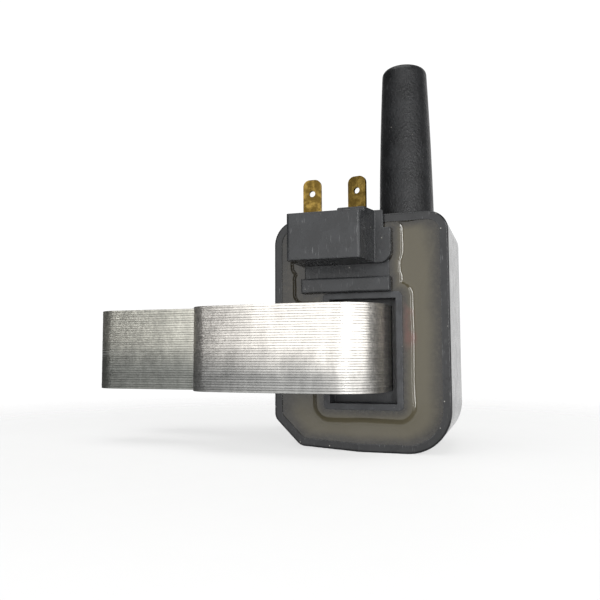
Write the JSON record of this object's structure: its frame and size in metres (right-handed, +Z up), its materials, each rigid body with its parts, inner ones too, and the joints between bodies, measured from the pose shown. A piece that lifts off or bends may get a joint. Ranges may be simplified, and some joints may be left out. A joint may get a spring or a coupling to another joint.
{
  "type": "ignition coil",
  "caption": "Potted ignition coil on an open-window laminated core with two mounting ears, blade tabs and an upright high tension tower.",
  "frame": {"origin": "midway between the two mounting holes, on the bottom face of the core stack", "axes": "+X from the mounting ears to the case, +Z up through the stack towards the top of the tower, -Y the open potted side of the case"},
  "size_m": [0.098, 0.0612, 0.0999],
  "materials": {
    "core_steel": "sheared edges of varnished silicon steel leaves, satin with fine lines",
    "rivet_steel": "swaged steel pin, dull",
    "weld_steel": "rippled weld bead, heat tinted",
    "fibre": "pressed fibre sheet",
    "case_plastic": "glass filled moulding, near black, satin with scuffs",
    "resin": "cast epoxy, olive grey, glossy, slightly translucent",
    "bobbin_plastic": "moulded black nylon",
    "slot_bobbin_plastic": "moulded natural resin",
    "copper_wire": "enamelled copper wire",
    "film": "polyester film tape",
    "block_plastic": "moulded, slate black, satin, light scuffs",
    "brass": "stamped brass, aged",
    "tower_plastic": "black moulding with a fine pebble grain",
    "solder": "tin solder, bright"
  },
  "bodies": {
    "root": {"core_u_laminations": "core_steel", "core_i_laminations": "core_steel", "core_rivets": "rivet_steel", "core_welds": "weld_steel", "air_gap_shim": "fibre", "leg_wedge": "fibre", "case_shell": "case_plastic", "potting_resin": "resin", "primary_bobbin": "bobbin_plastic", "primary_winding": "copper_wire", "primary_insulation": "film", "secondary_bobbin": "slot_bobbin_plastic", "secondary_winding": "copper_wire", "terminal_block": "block_plastic", "terminal_tab_left": "brass", "terminal_tab_right": "brass", "ht_tower": "tower_plastic", "ht_socket": "brass", "primary_lead_left": "copper_wire", "primary_lead_right": "copper_wire", "secondary_start_lead": "copper_wire", "ht_lead": "copper_wire", "terminal_solder_joints": "solder", "ht_solder_joint": "solder"}
  },
  "joints": []
}
